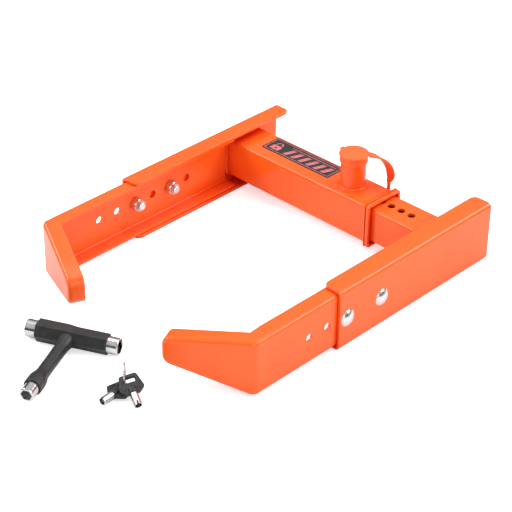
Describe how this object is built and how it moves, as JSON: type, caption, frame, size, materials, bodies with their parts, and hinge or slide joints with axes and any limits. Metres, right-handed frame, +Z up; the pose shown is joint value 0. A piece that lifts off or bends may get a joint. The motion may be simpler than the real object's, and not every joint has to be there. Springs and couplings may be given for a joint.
{
  "type": "trailer coupler lock",
  "caption": "Adjustable clamp lock for trailers: hook-ended channel arms on a telescoping square cross tube, pinned by a capped key lock, with wrench and keys",
  "frame": {"origin": "where the key lock's upright axis meets the cross tube's centre line", "axes": "+X along the cross tube from the fixed arm to the sliding arm, -Y along the arms towards the hooks, +Z up along the lock"},
  "size_m": [0.3525, 0.5578, 0.1073],
  "materials": {
    "orange_powder_coat": "glossy safety-orange powder coat",
    "zinc_plated_steel": "bright zinc plate",
    "orange_rubber": "satin moulded rubber, orange",
    "plain_steel": "ground steel",
    "bright_nickel": "bright nickel and chrome plate",
    "black_plastic": "fine-grained black moulding",
    "label_film": null
  },
  "bodies": {
    "fixed_frame": {"outer_sleeve_tube": "orange_powder_coat", "sleeve_collar": "orange_powder_coat", "collar_band": "orange_powder_coat", "left_arm_channel": "orange_powder_coat", "left_hook_extension": "orange_powder_coat", "left_arm_bolts": "zinc_plated_steel", "left_arm_nuts": "zinc_plated_steel", "label_plate": "label_film", "lock_housing": "orange_powder_coat", "stop_pin": "plain_steel", "cap_tether": "orange_rubber", "return_spring": "plain_steel"},
    "sliding_arm": {"inner_tube": "orange_powder_coat", "right_arm_channel": "orange_powder_coat", "right_hook_extension": "orange_powder_coat", "right_arm_bolts": "zinc_plated_steel", "right_arm_nuts": "zinc_plated_steel"},
    "plunger": {"lock_plunger": "bright_nickel", "lock_bolt": "plain_steel"},
    "plug": {"lock_plug": "bright_nickel", "lock_pins": "plain_steel", "latch_cam": "plain_steel"},
    "latch": {"latch_pin": "plain_steel"},
    "cap": {"dust_cap": "orange_rubber"},
    "wrench": {"wrench_handle": "black_plastic", "wrench_large_socket": "bright_nickel", "wrench_small_socket": "bright_nickel", "wrench_stem_socket": "bright_nickel"},
    "ring": {"key_ring": "bright_nickel"},
    "lower_key": {"key_lower_bow": "black_plastic", "key_lower_barrel": "bright_nickel"},
    "upper_key": {"key_upper_bow": "black_plastic", "key_upper_barrel": "bright_nickel"}
  },
  "joints": [
    {"name": "cross_slide", "type": "slide", "parent": "fixed_frame", "child": "sliding_arm", "axis": [1, 0, 0], "range_m": [-0.075, 0.03]},
    {"name": "plunger_push", "type": "slide", "parent": "fixed_frame", "child": "plunger", "axis": [0, 0, -1], "range_m": [0, 0.012], "deforming": ["return_spring"]},
    {"name": "key_turn", "type": "hinge", "parent": "plunger", "child": "plug", "pos_m": [0, 0, 0.0566], "axis": [0, 0, 1], "range_deg": [0, 90]},
    {"name": "latch_slide", "type": "slide", "parent": "plunger", "child": "latch", "axis": [1, 0, 0], "range_m": [0, 0.0012]},
    {"name": "cap_lift", "type": "slide", "parent": "fixed_frame", "child": "cap", "axis": [0, 0, 1], "range_m": [0, 0.02], "deforming": ["cap_tether"]},
    {"name": "wrench_lift", "type": "slide", "parent": "fixed_frame", "child": "wrench", "axis": [0, 0, 1], "range_m": [0, 0.12]},
    {"name": "key_ring_lift", "type": "slide", "parent": "fixed_frame", "child": "ring", "axis": [0, 0, 1], "range_m": [0, 0.12]},
    {"name": "lower_key_swing", "type": "hinge", "parent": "ring", "child": "lower_key", "pos_m": [0.0422, -0.4047, -0.0336], "axis": [0, 0, 1], "range_deg": [-8, 8]},
    {"name": "upper_key_swing", "type": "hinge", "parent": "ring", "child": "upper_key", "pos_m": [0.0484, -0.4018, -0.0226], "axis": [0, 0, 1], "range_deg": [-8, 8]}
  ],
  "couplings": [
    {"joint": "latch_slide", "follows": "key_turn", "m_per_rad": 0.00076394}
  ]
}
